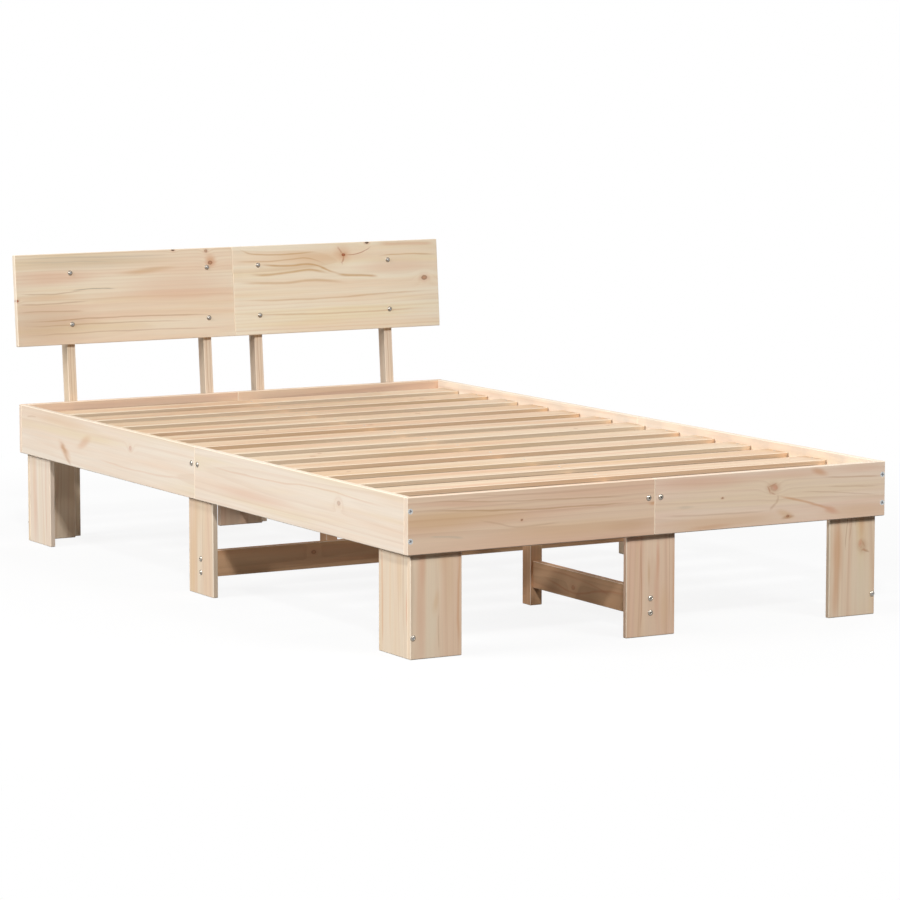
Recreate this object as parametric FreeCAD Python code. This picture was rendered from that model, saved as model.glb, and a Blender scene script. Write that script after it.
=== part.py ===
import FreeCAD, Part

import math
import os

from FreeCAD import Placement, Rotation, Vector

# Pine bed frame for a 1200 x 2000 mattress, in boards that bolt together.
# X runs across the bed, Y from the foot to the head and Z up. Inside this
# file X = 0 is the middle of the bed, Y = 0 the foot board's outer face and
# Z = 0 the floor. The last step moves the origin under the middle of the
# whole object's box. Lengths are in millimetres and angles in degrees.

# Frame boards
bed_width = 1235
bed_length = 2035
rail_height = 124
rail_thickness = 15
rail_underside = 226
board_bevel = 1.5

# Legs
leg_width = 126
leg_thickness = 13

# Stretchers and centre posts near the floor
stretcher_height = 62
stretcher_thickness = 18
stretcher_underside = 41
post_width = 31
post_depth = 36
post_setback = 500
fork_depth = 40

# Slat deck
well_depth = 18
slat_count = 13
slat_width = 80
slat_thickness = 12
slat_end_gap = 2.5
slat_bevel = 1.5
ledger_width = 25
ledger_height = 30
beam_height = 60
beam_thickness = 18
lap_length = 160
batten_bevel = 1

# Leaning headboard
lean_angle = 4.65
head_post_width = 23
head_post_depth = 33
head_post_drop = 20
seat_depth = 8
panel_underside = 495
panel_height = 234
panel_thickness = 15

# Clearances
fit_gap = 0.3
slide_gap = 0.15
bore_gap = 0.1
tip_gap = 0.5
overrun = 5

# Dome-head bolts, nuts and barrel nuts
bolt_radius = 3
dome_radius = 6.5
dome_rim = 0.8
dome_height = 3.8
key_flats = 4
key_depth = 1.8
seam_bolt_length = 35
frame_bolt_length = 40
nut_flats = 10
nut_height = 5
nut_end = 2
pocket_radius = 7.5
barrel_radius = 5
barrel_length = 14
barrel_end = 8

# Dome-head wood screws
dome_screw_radius = 2.5
dome_screw_length = 38

# Countersunk wood screws
long_screw_radius = 2.5
long_screw_length = 55
long_head_radius = 6.2
long_head_height = 3.7
small_screw_radius = 2
small_head_radius = 4
small_head_height = 2
board_screw_length = 25
batten_screw_length = 35
point_length = 4
recess_span_share = 0.62
recess_width_share = 0.17
recess_depth_share = 0.5

# Places of the fasteners
corner_screw_offset = 32
seam_bolt_offset = 15.5
seam_bolt_drop = 41
bolt_row_low = 52.5
bolt_row_pitch = 32
leg_screw_height = 47
leg_upper_screw_drop = 40
board_screw_edge = 40
board_screw_rise = 22
board_screw_drop = 24
middle_screw_offset = 42
middle_screw_drop = 48
ledger_screw_count = 4
ledger_screw_edge = 60
beam_screw_drop_low = 46
beam_screw_drop_high = 26
lap_screw_offset = 60
panel_screw_edge = 51
seat_bolt_shares = (0.25, 0.75)

# Sizes that follow from the ones above
half_width = bed_width / 2
half_length = bed_length / 2
rail_top = rail_underside + rail_height
rail_inner = half_width - rail_thickness
leg_inner = rail_inner - leg_thickness
leg_end = rail_inner - leg_width
leg_middle = rail_inner - leg_thickness / 2
deck_top = rail_top - well_depth
deck_underside = deck_top - slat_thickness
foot_inner = rail_thickness + leg_thickness
side_leg_end = foot_inner + leg_width
beam_underside = deck_underside - beam_height
stretcher_top = stretcher_underside + stretcher_height
slat_pitch = (bed_length - 2 * rail_thickness) / slat_count
bolt_rows = (bolt_row_low, bolt_row_low + bolt_row_pitch)
seam_bolt_height = rail_top - seam_bolt_drop
corner_screw_rows = (
    rail_underside + rail_height / 2 - corner_screw_offset,
    rail_underside + rail_height / 2 + corner_screw_offset,
)
lean_slope = math.tan(math.radians(lean_angle))
upright_front = bed_length - seat_depth
upright_back = upright_front + head_post_depth
lean_floor = upright_front - rail_underside * lean_slope
bend_back = rail_underside - head_post_depth * math.tan(math.radians(lean_angle) / 2)
seat_height = seat_depth / lean_slope
head_post_inner = leg_width / 2 + fit_gap + head_post_width / 2
head_post_outer = leg_end - fit_gap - head_post_width / 2
head_post_places = (-head_post_outer, -head_post_inner, head_post_inner, head_post_outer)
panel_start = panel_underside / math.cos(math.radians(lean_angle))
panel_end = panel_start + panel_height
head_post_end = panel_end - head_post_drop

ORIGIN = Vector(0, 0, 0)
ACROSS = Vector(1, 0, 0)
ALONG = Vector(0, 1, 0)
UP = Vector(0, 0, 1)
DOWN = -UP
LEAN = Placement(Vector(0, lean_floor, 0), Rotation(ACROSS, -lean_angle))
SIDES = (("left", -1), ("right", 1))
ENDS = (("foot", 1), ("head", -1))


# Timber shapes
def board(xs, ys, zs, bevel):
    """A sawn board between two values on each axis, every edge bevelled."""
    size = Vector(xs[1] - xs[0], ys[1] - ys[0], zs[1] - zs[0])
    blank = Part.makeBox(size.x, size.y, size.z, Vector(xs[0], ys[0], zs[0]))
    return blank.makeChamfer(bevel, blank.Edges)


def across(piece, side):
    """The piece as modelled on the left, or its mirror image on the right."""
    return piece if side < 0 else piece.mirror(ORIGIN, ACROSS)


def along(piece, end):
    """The piece as modelled at the foot, or its mirror image at the head."""
    middle = Vector(0, half_length, 0)
    return piece if end > 0 else piece.mirror(middle, ALONG)


# Frame boards
def end_board():
    """Left half of the foot board, which covers the end of the side rail."""
    heights = (rail_underside, rail_top)
    return board((-half_width, 0), (0, rail_thickness), heights, board_bevel)


def side_rail():
    """Left side rail's foot half, from the foot board to the middle leg."""
    heights = (rail_underside, rail_top)
    return board((-half_width, -rail_inner), (rail_thickness, half_length), heights, board_bevel)


# Legs
def leg_cover_board():
    """The corner leg's outer board, which faces the foot and laps the other one."""
    heights = (0, deck_underside)
    return board((-rail_inner, -leg_end), (rail_thickness, foot_inner), heights, board_bevel)


def leg_side_board():
    """The corner leg's second board, flat against the side rail."""
    heights = (0, deck_underside)
    return board((-rail_inner, -leg_inner), (foot_inner, side_leg_end), heights, board_bevel)


def middle_leg_end():
    """The leg behind the foot board's seam."""
    span = (-leg_width / 2, leg_width / 2)
    return board(span, (rail_thickness, foot_inner), (0, deck_underside), board_bevel)


def middle_leg_side():
    """The leg behind the left side rail's seam."""
    span = (half_length - leg_width / 2, half_length + leg_width / 2)
    return board((-rail_inner, -leg_inner), span, (0, deck_underside), board_bevel)


# Stretchers and centre posts
def cross_stretcher():
    """The low board between the two side middle legs."""
    span = (half_length - stretcher_thickness / 2, half_length + stretcher_thickness / 2)
    return board((-leg_inner, leg_inner), span, (stretcher_underside, stretcher_top), batten_bevel)


def long_stretcher():
    """The low board from the foot's middle leg to the first centre post."""
    span = (-stretcher_thickness / 2, stretcher_thickness / 2)
    heights = (stretcher_underside, stretcher_top)
    return board(span, (foot_inner, post_setback), heights, batten_bevel)


def centre_post():
    """A post under the centre beam, forked at the top so the beam drops in."""
    span = (-post_width / 2, post_width / 2)
    depth = (post_setback, post_setback + post_depth)
    post = board(span, depth, (0, beam_underside + fork_depth), batten_bevel)
    slot_width = beam_thickness + 2 * slide_gap
    corner = Vector(-slot_width / 2, post_setback - overrun, beam_underside)
    slot = Part.makeBox(slot_width, post_depth + 2 * overrun, fork_depth + overrun, corner)
    return post.cut(slot)


# Slat deck
def centre_beam(end):
    """One half of the beam under the slats, with half its depth cut away at the lap."""
    middle = beam_underside + beam_height / 2
    lap_start = half_length - lap_length / 2
    lap_end = half_length + lap_length / 2
    span = (-beam_thickness / 2, beam_thickness / 2)
    run = (foot_inner, lap_end) if end > 0 else (lap_start, bed_length - foot_inner)
    beam = board(span, run, (beam_underside, deck_underside), batten_bevel)
    lap_floor = middle if end > 0 else beam_underside - overrun
    lap_run_start = lap_start if end > 0 else lap_start - overrun
    corner = Vector(-beam_thickness, lap_run_start, lap_floor)
    notch = Part.makeBox(
        beam_thickness * 2, lap_length + overrun, beam_height / 2 + overrun, corner
    )
    return beam.cut(notch)


def ledger():
    """The batten that carries the slats, between a corner leg and a middle leg."""
    run = (side_leg_end + fit_gap, half_length - leg_width / 2 - fit_gap)
    heights = (deck_underside - ledger_height, deck_underside)
    return board((-rail_inner, ledger_width - rail_inner), run, heights, batten_bevel)


def slat_middle(number):
    """Place of a slat's centre line along the bed."""
    return rail_thickness + slat_pitch * (number + 1 / 2)


def slat(number):
    """A slat across the bed, loose by a small gap between the side rails."""
    reach = rail_inner - slat_end_gap
    middle = slat_middle(number)
    run = (middle - slat_width / 2, middle + slat_width / 2)
    return board((-reach, reach), run, (deck_underside, deck_top), slat_bevel)


# Headboard
def head_panel():
    """Left half of the headboard, drawn upright and tipped back in front of the posts."""
    panel = board((-half_width, 0), (-panel_thickness, 0), (panel_start, panel_end), board_bevel)
    panel.Placement = LEAN
    return panel


def head_post(place):
    """A post sawn with a bend: upright under the head rail, and leaning back above it.

    A seat in its front takes the rail, so that the rail stands on a small shelf.
    """
    side = place - head_post_width / 2
    corners = [
        Vector(side, upright_front, 0),
        Vector(side, upright_front, rail_underside),
        LEAN.multVec(Vector(side, 0, head_post_end)),
        LEAN.multVec(Vector(side, head_post_depth, head_post_end)),
        Vector(side, upright_back, bend_back),
        Vector(side, upright_back, 0),
    ]
    outline = Part.Face(Part.makePolygon(corners + corners[:1]))
    blank = outline.extrude(Vector(head_post_width, 0, 0))
    bevelled = [edge for edge in blank.Edges if not is_bend(edge)]
    reach = 2 * head_post_depth
    seat = Part.makeBox(
        2 * head_post_width, reach, rail_height + fit_gap,
        Vector(place - head_post_width, bed_length - reach, rail_underside - fit_gap),
    )
    return blank.makeChamfer(batten_bevel, bevelled).cut(seat)


def is_bend(edge):
    """Whether an edge of a head post runs level across it, between its foot and the headboard."""
    box = edge.BoundBox
    return box.ZLength < fit_gap and fit_gap < box.ZMin < panel_underside


# Fasteners, drawn with their heads at the origin and driven towards +Z
def turned(points):
    """A solid turned about Z from its half outline of radius and depth pairs."""
    corners = [Vector(radius, 0, depth) for radius, depth in points]
    outline = Part.makePolygon(corners + corners[:1])
    return Part.Face(outline).revolve(ORIGIN, UP, 360)


def rod(radius, start, end):
    """A plain round bar along Z."""
    return Part.makeCylinder(radius, end - start, Vector(0, 0, start))


def hexagon(flats, start, end):
    """A six-sided bar along Z, given across its flats."""
    corner = flats / math.sqrt(3)
    turns = [math.radians(60 * step) for step in range(7)]
    ring = [Vector(corner * math.cos(turn), corner * math.sin(turn), start) for turn in turns]
    return Part.Face(Part.makePolygon(ring)).extrude(Vector(0, 0, end - start))


def dome_head():
    """A domed head with a low rim, and a six-sided key socket in its top."""
    crown = dome_height - dome_rim
    ball = (dome_radius ** 2 + crown ** 2) / (2 * crown)
    middle_turn = math.asin(dome_radius / ball) / 2
    top = Vector(0, 0, -dome_height)
    shoulder = Vector(ball * math.sin(middle_turn), 0, ball - dome_height - ball * math.cos(middle_turn))
    edge = Vector(dome_radius, 0, -dome_rim)
    seat_edge = Vector(dome_radius, 0, 0)
    outline = Part.Wire([
        Part.Arc(top, shoulder, edge).toShape(),
        Part.makeLine(edge, seat_edge),
        Part.makeLine(seat_edge, ORIGIN),
        Part.makeLine(ORIGIN, top),
    ])
    head = Part.Face(outline).revolve(ORIGIN, UP, 360)
    socket = hexagon(key_flats, -dome_height - overrun, key_depth - dome_height)
    return head.cut(socket)


def dome_fastener(radius, length):
    """A dome-head bolt or screw, and the hole that it needs."""
    solid = dome_head().fuse(rod(radius, 0, length)).removeSplitter()
    return solid, rod(radius + bore_gap, -tip_gap, length + tip_gap)


def flush_screw(radius, length, head_radius, head_height):
    """A countersunk screw with a cross recess, and its countersunk hole."""
    solid = turned([
        (0, 0), (head_radius, 0), (radius, head_height),
        (radius, length - point_length), (0, length),
    ])
    slot_length = 2 * head_radius * recess_span_share
    slot_width = 2 * head_radius * recess_width_share
    slot_depth = head_height * recess_depth_share
    for size in ((slot_length, slot_width), (slot_width, slot_length)):
        corner = Vector(-size[0] / 2, -size[1] / 2, -overrun)
        solid = solid.cut(Part.makeBox(size[0], size[1], slot_depth + overrun, corner))
    hole_radius = radius + bore_gap
    hole = turned([
        (0, -tip_gap), (head_radius, -tip_gap), (head_radius, 0), (radius, head_height),
        (hole_radius, head_height), (hole_radius, length + tip_gap), (0, length + tip_gap),
    ])
    return solid, hole


def plain_screw(length):
    """A small countersunk screw without its recess, and its hole."""
    radius = small_screw_radius
    solid = turned([
        (0, 0), (small_head_radius, 0), (radius, small_head_height),
        (radius, length - point_length), (0, length),
    ])
    hole_radius = radius + bore_gap
    hole = turned([
        (0, -tip_gap), (small_head_radius, -tip_gap), (small_head_radius, 0),
        (radius, small_head_height), (hole_radius, small_head_height),
        (hole_radius, length + tip_gap), (0, length + tip_gap),
    ])
    return solid, hole


def hex_nut():
    """A nut whose seat is at the origin, with the pocket that its key needs."""
    nut = hexagon(nut_flats, -nut_height, 0).cut(rod(bolt_radius + bore_gap, -nut_height, 0))
    return nut, rod(pocket_radius, -head_post_depth, 0)


def barrel_nut():
    """A round cross nut let in from one face, and its blind hole."""
    cross_hole = Part.makeCylinder(
        bolt_radius + bore_gap, 2 * barrel_radius,
        Vector(-barrel_radius, 0, stretcher_thickness / 2), ACROSS,
    )
    solid = rod(barrel_radius, 0, barrel_length).cut(cross_hole)
    return solid, rod(barrel_radius + slide_gap, -tip_gap, barrel_length)


def driven(pair, point, direction, spin=0):
    """A fastener and its hole moved to a point and turned to drive one way."""
    turn = Rotation(UP, direction).multiply(Rotation(UP, spin))
    moved = [shape.copy() for shape in pair]
    for shape in moved:
        shape.Placement = Placement(point, turn)
    return moved


def at_four_corners(pair):
    """The same fastener at all four corners of the bed."""
    return [
        [along(across(shape, side), end) for shape in pair]
        for _, side in SIDES for _, end in ENDS
    ]


def at_both_ends(pair):
    """The same fastener at the foot and at the head."""
    return [[along(shape, end) for shape in pair] for _, end in ENDS]


def at_both_sides(pair):
    """The same fastener at the left and at the right."""
    return [[across(shape, side) for shape in pair] for _, side in SIDES]


# Groups of like fasteners
def long_screws():
    """Screws through the end boards into the rails, the posts and the beam's lap."""
    screw = flush_screw(long_screw_radius, long_screw_length, long_head_radius, long_head_height)
    placed = []
    for height in corner_screw_rows:
        point = Vector(rail_thickness / 2 - half_width, 0, height)
        placed += at_four_corners(driven(screw, point, ALONG))
    for height in bolt_rows:
        point = Vector(0, post_setback + post_depth, height)
        placed += at_both_ends(driven(screw, point, -ALONG))
    for _, end in ENDS:
        point = Vector(0, half_length + end * lap_screw_offset, deck_underside)
        placed.append(driven(screw, point, DOWN))
    return placed


def seam_bolts():
    """Bolts either side of each seam, through the boards and the middle leg."""
    bolt = dome_fastener(bolt_radius, seam_bolt_length)
    end_point = Vector(-seam_bolt_offset, 0, seam_bolt_height)
    side_point = Vector(-half_width, half_length - seam_bolt_offset, seam_bolt_height)
    return (
        at_four_corners(driven(bolt, end_point, ALONG))
        + at_four_corners(driven(bolt, side_point, ACROSS))
    )


def frame_bolts():
    """Bolts from the middle legs into the stretchers, and from the rail to the posts."""
    bolt = dome_fastener(bolt_radius, frame_bolt_length)
    placed = []
    for height in bolt_rows:
        placed += at_both_ends(driven(bolt, Vector(0, rail_thickness, height), ALONG))
        placed += at_both_sides(driven(bolt, Vector(-rail_inner, half_length, height), ACROSS))
    for place in head_post_places:
        for height in seat_bolt_heights():
            point = Vector(place, bed_length - rail_thickness, height)
            placed.append(driven(bolt, point, ALONG))
    return placed


def seat_bolt_heights():
    """Heights of the two bolts in each leaning post's seat."""
    return [rail_underside + share * seat_height for share in seat_bolt_shares]


def hex_nuts():
    """Nuts behind the middle legs, and in pockets in the back of the leaning posts."""
    nut, pocket = hex_nut()
    bolt_way = rod(bolt_radius + bore_gap, -nut_height, 0)
    end_point = Vector(-seam_bolt_offset, foot_inner, seam_bolt_height)
    side_point = Vector(-leg_inner, half_length - seam_bolt_offset, seam_bolt_height)
    placed = at_four_corners(driven((nut, bolt_way), end_point, -ALONG))
    placed += at_four_corners(driven((nut, bolt_way), side_point, -ACROSS))
    floor = bed_length - rail_thickness + frame_bolt_length - nut_end - nut_height
    for place in head_post_places:
        for height in seat_bolt_heights():
            placed.append(driven((nut, pocket), Vector(place, floor, height), -ALONG))
    return placed


def barrel_nuts():
    """Cross nuts that the stretchers' bolts screw into."""
    nut = barrel_nut()
    depth = frame_bolt_length - barrel_end
    face = stretcher_thickness / 2
    placed = []
    for height in bolt_rows:
        end_point = Vector(face, rail_thickness + depth, height)
        placed += at_both_ends(driven(nut, end_point, -ACROSS, 90))
        side_point = Vector(depth - rail_inner, half_length + face, height)
        placed += at_both_sides(driven(nut, side_point, -ALONG))
    return placed


def dome_screws():
    """Dome-head screws through the legs' cover boards and the headboard."""
    screw = dome_fastener(dome_screw_radius, dome_screw_length)
    leg_point = Vector(-leg_middle, rail_thickness, leg_screw_height)
    placed = at_four_corners(driven(screw, leg_point, ALONG))
    for place in head_post_places:
        for run in (panel_start + panel_screw_edge, panel_end - panel_screw_edge):
            pair = driven(screw, Vector(place, -panel_thickness, run), ALONG)
            for shape in pair:
                shape.Placement = LEAN.multiply(shape.Placement)
            placed.append(pair)
    return placed


def board_screws():
    """Short screws from inside, which hold the legs against the frame boards."""
    screw = plain_screw(board_screw_length)
    low = rail_underside + board_screw_rise
    high = deck_underside - board_screw_drop
    placed = []
    for share, height in ((0, low), (1, high)):
        shift = board_screw_edge + share * (leg_width - 2 * board_screw_edge)
        cover_point = Vector(shift - rail_inner, foot_inner, height)
        placed += at_four_corners(driven(screw, cover_point, -ALONG))
        side_point = Vector(-leg_inner, foot_inner + shift, height)
        placed += at_four_corners(driven(screw, side_point, -ACROSS))
    for height in (low, deck_underside - middle_screw_drop):
        end_point = Vector(-middle_screw_offset, foot_inner, height)
        placed += at_four_corners(driven(screw, end_point, -ALONG))
        side_point = Vector(-leg_inner, half_length - middle_screw_offset, height)
        placed += at_four_corners(driven(screw, side_point, -ACROSS))
    return placed


def batten_screws():
    """Screws through the ledgers, at the beam's ends and in the top of the corner legs."""
    screw = plain_screw(batten_screw_length)
    ledger_start = side_leg_end + ledger_screw_edge
    ledger_end = half_length - leg_width / 2 - ledger_screw_edge
    step = (ledger_end - ledger_start) / (ledger_screw_count - 1)
    height = deck_underside - ledger_height / 2
    placed = []
    for number in range(ledger_screw_count):
        point = Vector(ledger_width - rail_inner, ledger_start + number * step, height)
        placed += at_four_corners(driven(screw, point, -ACROSS))
    for drop in (beam_screw_drop_low, beam_screw_drop_high):
        point = Vector(0, rail_thickness, deck_underside - drop)
        placed += at_both_ends(driven(screw, point, ALONG))
    leg_point = Vector(-leg_middle, rail_thickness, deck_underside - leg_upper_screw_drop)
    placed += at_four_corners(driven(screw, leg_point, ALONG))
    return placed


def slat_screws():
    """One screw at each end of a slat that lies on a ledger, and one at the beam."""
    screw = plain_screw(board_screw_length)
    placed = []
    for number in range(slat_count):
        middle = slat_middle(number)
        places = [0]
        from_foot = min(middle, bed_length - middle)
        on_ledger = side_leg_end < from_foot < half_length - leg_width / 2
        if on_ledger:
            place = rail_inner - ledger_width / 2
            places += [-place, place]
        placed += [driven(screw, Vector(place, middle, deck_top), DOWN) for place in places]
    return placed


# Every timber piece by its node's name
def timber():
    """All the boards, posts, battens and slats, before their holes are bored."""
    pieces = {}
    for side_name, side in SIDES:
        pieces["foot_board_" + side_name] = across(end_board(), side)
        pieces["head_rail_" + side_name] = along(across(end_board(), side), -1)
        pieces["middle_leg_" + side_name] = across(middle_leg_side(), side)
        pieces["headboard_" + side_name] = across(head_panel(), side)
        for end_name, end in ENDS:
            tail = side_name + "_" + end_name
            pieces["side_rail_" + tail] = along(across(side_rail(), side), end)
            pieces["leg_cover_" + tail] = along(across(leg_cover_board(), side), end)
            pieces["leg_side_" + tail] = along(across(leg_side_board(), side), end)
            pieces["slat_ledger_" + tail] = along(across(ledger(), side), end)
    for end_name, end in ENDS:
        pieces["middle_leg_" + end_name] = along(middle_leg_end(), end)
        pieces["long_stretcher_" + end_name] = along(long_stretcher(), end)
        pieces["centre_post_" + end_name] = along(centre_post(), end)
        pieces["centre_beam_" + end_name] = centre_beam(end)
    pieces["cross_stretcher"] = cross_stretcher()
    for number in range(slat_count):
        pieces["slat_{:02d}".format(number + 1)] = slat(number)
    for number, place in enumerate(head_post_places):
        pieces["headboard_post_{}".format(number + 1)] = head_post(place)
    return pieces


def fasteners():
    """Every group of like fasteners, as pairs of a solid and its hole."""
    return {
        "long_screws": long_screws(),
        "seam_bolts": seam_bolts(),
        "frame_bolts": frame_bolts(),
        "hex_nuts": hex_nuts(),
        "barrel_nuts": barrel_nuts(),
        "dome_screws": dome_screws(),
        "board_screws": board_screws(),
        "batten_screws": batten_screws(),
        "slat_screws": slat_screws(),
    }


def bored(piece, holes):
    """The piece with every hole that reaches it cut away."""
    near = [hole for hole in holes if piece.BoundBox.intersect(hole.BoundBox)]
    return piece.cut(near) if near else piece


def build():
    """All nodes by name, with the origin under the middle of the whole."""
    groups = fasteners()
    holes = [hole for pairs in groups.values() for _, hole in pairs]
    nodes = {name: bored(piece, holes) for name, piece in timber().items()}
    for name, pairs in groups.items():
        nodes[name] = Part.Compound([solid for solid, _ in pairs])
    box = Part.Compound(list(nodes.values())).optimalBoundingBox(False)
    shift = Vector(-box.Center.x, -box.Center.y, -box.ZMin)
    for shape in nodes.values():
        shape.translate(shift)
    return nodes, shift, box


nodes, shift, box = build()
os.makedirs("parts", exist_ok=True)
for name, shape in nodes.items():
    shape.exportStep("parts/" + name + ".step")
print("nodes", len(nodes), "size", box.XLength, box.YLength, box.ZLength, "moved by", shift)
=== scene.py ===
import math

import bpy
import numpy as np
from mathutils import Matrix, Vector


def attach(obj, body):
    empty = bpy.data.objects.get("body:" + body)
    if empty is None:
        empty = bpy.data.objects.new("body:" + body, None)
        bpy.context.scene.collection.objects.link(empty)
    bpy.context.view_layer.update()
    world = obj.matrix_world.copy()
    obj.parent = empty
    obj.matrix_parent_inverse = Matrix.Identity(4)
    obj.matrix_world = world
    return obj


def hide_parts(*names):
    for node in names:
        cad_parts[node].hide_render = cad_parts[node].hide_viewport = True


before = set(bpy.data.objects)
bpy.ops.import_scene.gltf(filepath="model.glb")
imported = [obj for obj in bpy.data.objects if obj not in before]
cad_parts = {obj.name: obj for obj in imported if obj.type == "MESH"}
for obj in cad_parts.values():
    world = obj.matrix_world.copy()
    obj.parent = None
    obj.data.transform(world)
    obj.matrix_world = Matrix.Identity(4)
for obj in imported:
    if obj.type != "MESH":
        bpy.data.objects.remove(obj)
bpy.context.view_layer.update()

# Frame boards. The foot board, the head rail and the two side rails are planed pine, each in two
# halves that butt together over a middle leg. All their edges are bevelled by machine.
# Planed pine is smooth and nearly matt: long soft bands of cream, rose and gold, few brown lines.
MM = 0.001
STREAK_TONES = {
    "brown": "#B98C63", "red": "#B87555", "rosy": "#DDAA8B", "gold": "#DDB78C", "orange": "#D39A6C",
    "ochre": "#C89A60", "grey": "#C9B8A2", "cream": "#EDDCC2", "dark": "#5A3A28",
}
# A knot's rim and its heart, and the redder wood round any knot
KNOT_TONES = {
    "brown": ("#8A5A3C", "#B98361"), "rosy": ("#B97860", "#D8A18C"), "red": ("#8E4426", "#B5663F"),
    "dark": ("#42291A", "#5E3D28"),
}
HALO_TONE = "#D29C7A"
# Painted highlights: paler tones for the bevelled edges and for the board ends
BEVEL_HIGHLIGHT_TONE = "#FCEDD8"
END_HIGHLIGHT_TONE = "#F4E6D4"

# Waves in a metre, along the grain and across it. The rings stray over 450 by 70 mm, the colour
# over 700 by 40 mm, and marks are ragged over 80 by 17 mm. Fibres are drawn as 200 by 4 mm, coarser
# than real ones so that they show.
RING_WAVES = (2.2, 14, 14)
COLOUR_WAVES = (1.4, 26, 26)
MARK_WAVES = (12, 60, 60)
FIBRE_WAVES = (5, 260, 260)

# In mm: a year's growth, how far a mark strays along and across, and how far a knot's outline does
RING_WIDTH = 6.5
MARK_STRAY = (24, 7)
KNOT_STRAY = 3

# A knot looks longer along the grain, because its branch is cut at a slant. In radii, it changes
# the wood as far out as its reach, and pushes the rings aside by its hump.
KNOT_SLANT = 0.72
KNOT_REACH = 2.6
KNOT_HUMP = 1.5

SMOOTH = {"interpolation_type": "SMOOTHSTEP"}
COLOURS = {"data_type": "RGBA"}
IN_4D = {"noise_dimensions": "4D"}


def linear(code):
    """An sRGB colour written in hex, as linear light with an alpha of one."""
    shares = np.array([int(code[start:start + 2], 16) for start in (1, 3, 5)]) / 255
    light = np.where(shares <= 0.04045, shares / 12.92, ((shares + 0.055) / 1.055) ** 2.4)
    return (*light, 1.0)


def add(tree, kind, sockets, **settings):
    """Adds one shader node. Each socket, by name or number, takes a value or another node's output.

    By number, Math and Vector Math count their inputs from 0. Map Range takes the value at 0, its
    old range at 1 and 2 and its new range at 3 and 4. Mix takes the share at 0 and its colours at
    6 and 7. Mapping takes the vector at 0, the place at 1, the turn at 2 and the size at 3.
    """
    made = tree.nodes.new("ShaderNode" + kind)
    for name, value in settings.items():
        setattr(made, name, value)
    for key, value in sockets.items():
        if isinstance(value, bpy.types.NodeSocket):
            tree.links.new(value, made.inputs[key])
        else:
            made.inputs[key].default_value = value
    return made.outputs


def board_box(node, tip):
    """A board's middle, and half its size along its own axes, which may be tipped about X."""
    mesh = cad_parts[node].data
    corners = np.empty(len(mesh.vertices) * 3, np.float32)
    mesh.vertices.foreach_get("co", corners)
    corners = corners.reshape(-1, 3).astype(float)
    middle = (corners.min(0) + corners.max(0)) / 2
    upright = np.array([[1, 0, 0],
                        [0, math.cos(tip), -math.sin(tip)],
                        [0, math.sin(tip), math.cos(tip)]])
    return middle, np.abs((corners - middle) @ upright.T).max(0)


def from_pith(tree, place, seed, pith, swirl):
    """Distance in metres from the log's pith, which tells the year ring at each place.

    The pith is a line that drifts slowly in v and w as it runs along u. In its own coordinates u is
    squeezed to nothing, so the distance is the length of (v, w). Slow noise of up to twice the
    swirl is added, because no log is quite round.
    """
    slow = add(tree, "VectorMath", {0: place, 1: RING_WAVES}, operation="MULTIPLY")[0]
    wander = add(tree, "TexNoise", {"Vector": slow, "W": seed, "Scale": 1, "Detail": 2}, **IN_4D)[0]
    v, w, towards_v, towards_w = pith
    start = (0, v * MM, w * MM)
    drift = (0, math.radians(towards_w), math.radians(towards_v))
    endless = (1e6, 1, 1)
    log = add(tree, "Mapping", {0: place, 1: start, 2: drift, 3: endless}, vector_type="TEXTURE")[0]
    reach = add(tree, "VectorMath", {0: log}, operation="LENGTH")["Value"]
    return add(tree, "Math", {0: wander, 1: 2 * swirl * MM, 2: reach}, operation="MULTIPLY_ADD")[0]


def bend_round_knots(tree, place, reach, knots):
    """Adds a hump to the distance from the pith at each knot, so that the rings flow round it.

    The hump is its height times e to the power of minus the square of the distance from the knot
    over the knot's reach. Noise of 11 mm makes that distance uneven, and as its mean is a half, the
    centre moves by half the stray. The knots come back with their distance for the colours.
    """
    stray = KNOT_STRAY * MM
    face = add(tree, "VectorMath", {0: place, 1: (KNOT_SLANT, 1, 0)}, operation="MULTIPLY")[0]
    rough = add(tree, "TexNoise", {"Vector": place, "Scale": 90, "Detail": 2})[1]
    face = add(tree, "VectorMath", {0: rough, 1: (stray, stray, 0), 2: face},
               operation="MULTIPLY_ADD")[0]
    found = []
    for u, v, radius, strength, tone in knots:
        centre = (u * KNOT_SLANT * MM + stray / 2, v * MM + stray / 2, 0)
        away = add(tree, "VectorMath", {0: face, 1: centre}, operation="DISTANCE")["Value"]
        near = add(tree, "Math", {0: away, 1: 1 / (KNOT_REACH * radius * MM)}, operation="MULTIPLY")[0]
        near = add(tree, "Math", {0: near, 1: 2}, operation="POWER")[0]
        near = add(tree, "Math", {0: near, 1: -1}, operation="MULTIPLY")[0]
        near = add(tree, "Math", {0: near}, operation="EXPONENT")[0]
        height = KNOT_HUMP * radius * MM
        reach = add(tree, "Math", {0: near, 1: height, 2: reach}, operation="MULTIPLY_ADD")[0]
        found.append((away, radius * MM, strength, tone))
    return reach, found


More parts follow.
